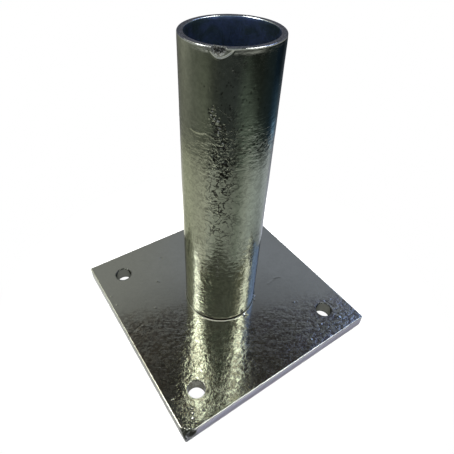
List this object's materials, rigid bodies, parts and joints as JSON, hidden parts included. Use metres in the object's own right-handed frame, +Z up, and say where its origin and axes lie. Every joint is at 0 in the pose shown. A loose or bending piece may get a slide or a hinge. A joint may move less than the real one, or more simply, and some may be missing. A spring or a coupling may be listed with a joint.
{
  "type": "timber post base",
  "caption": "Galvanised steel post base: a square anchor plate with corner holes, and a round open tube standing in its middle, welded from underneath.",
  "frame": {"origin": "centre of the plate's underside, where it stands on the concrete", "axes": "+Z up along the tube's axis; +X and +Y along the plate's sides; the knocked-off corner is the one at -X -Y"},
  "size_m": [0.15, 0.15, 0.2],
  "materials": {
    "galvanised_plate": "hot-dip zinc, semi-gloss and mottled, with rounded, lighter edges",
    "galvanised_tube": "hot-dip zinc, semi-gloss, with fine ripples, runs and pimples",
    "galvanised_weld": "hot-dip zinc over weld ripples, duller than the plate"
  },
  "bodies": {
    "root": {"base_plate": "galvanised_plate", "post_tube": "galvanised_tube", "weld_bead": "galvanised_weld"}
  },
  "joints": []
}
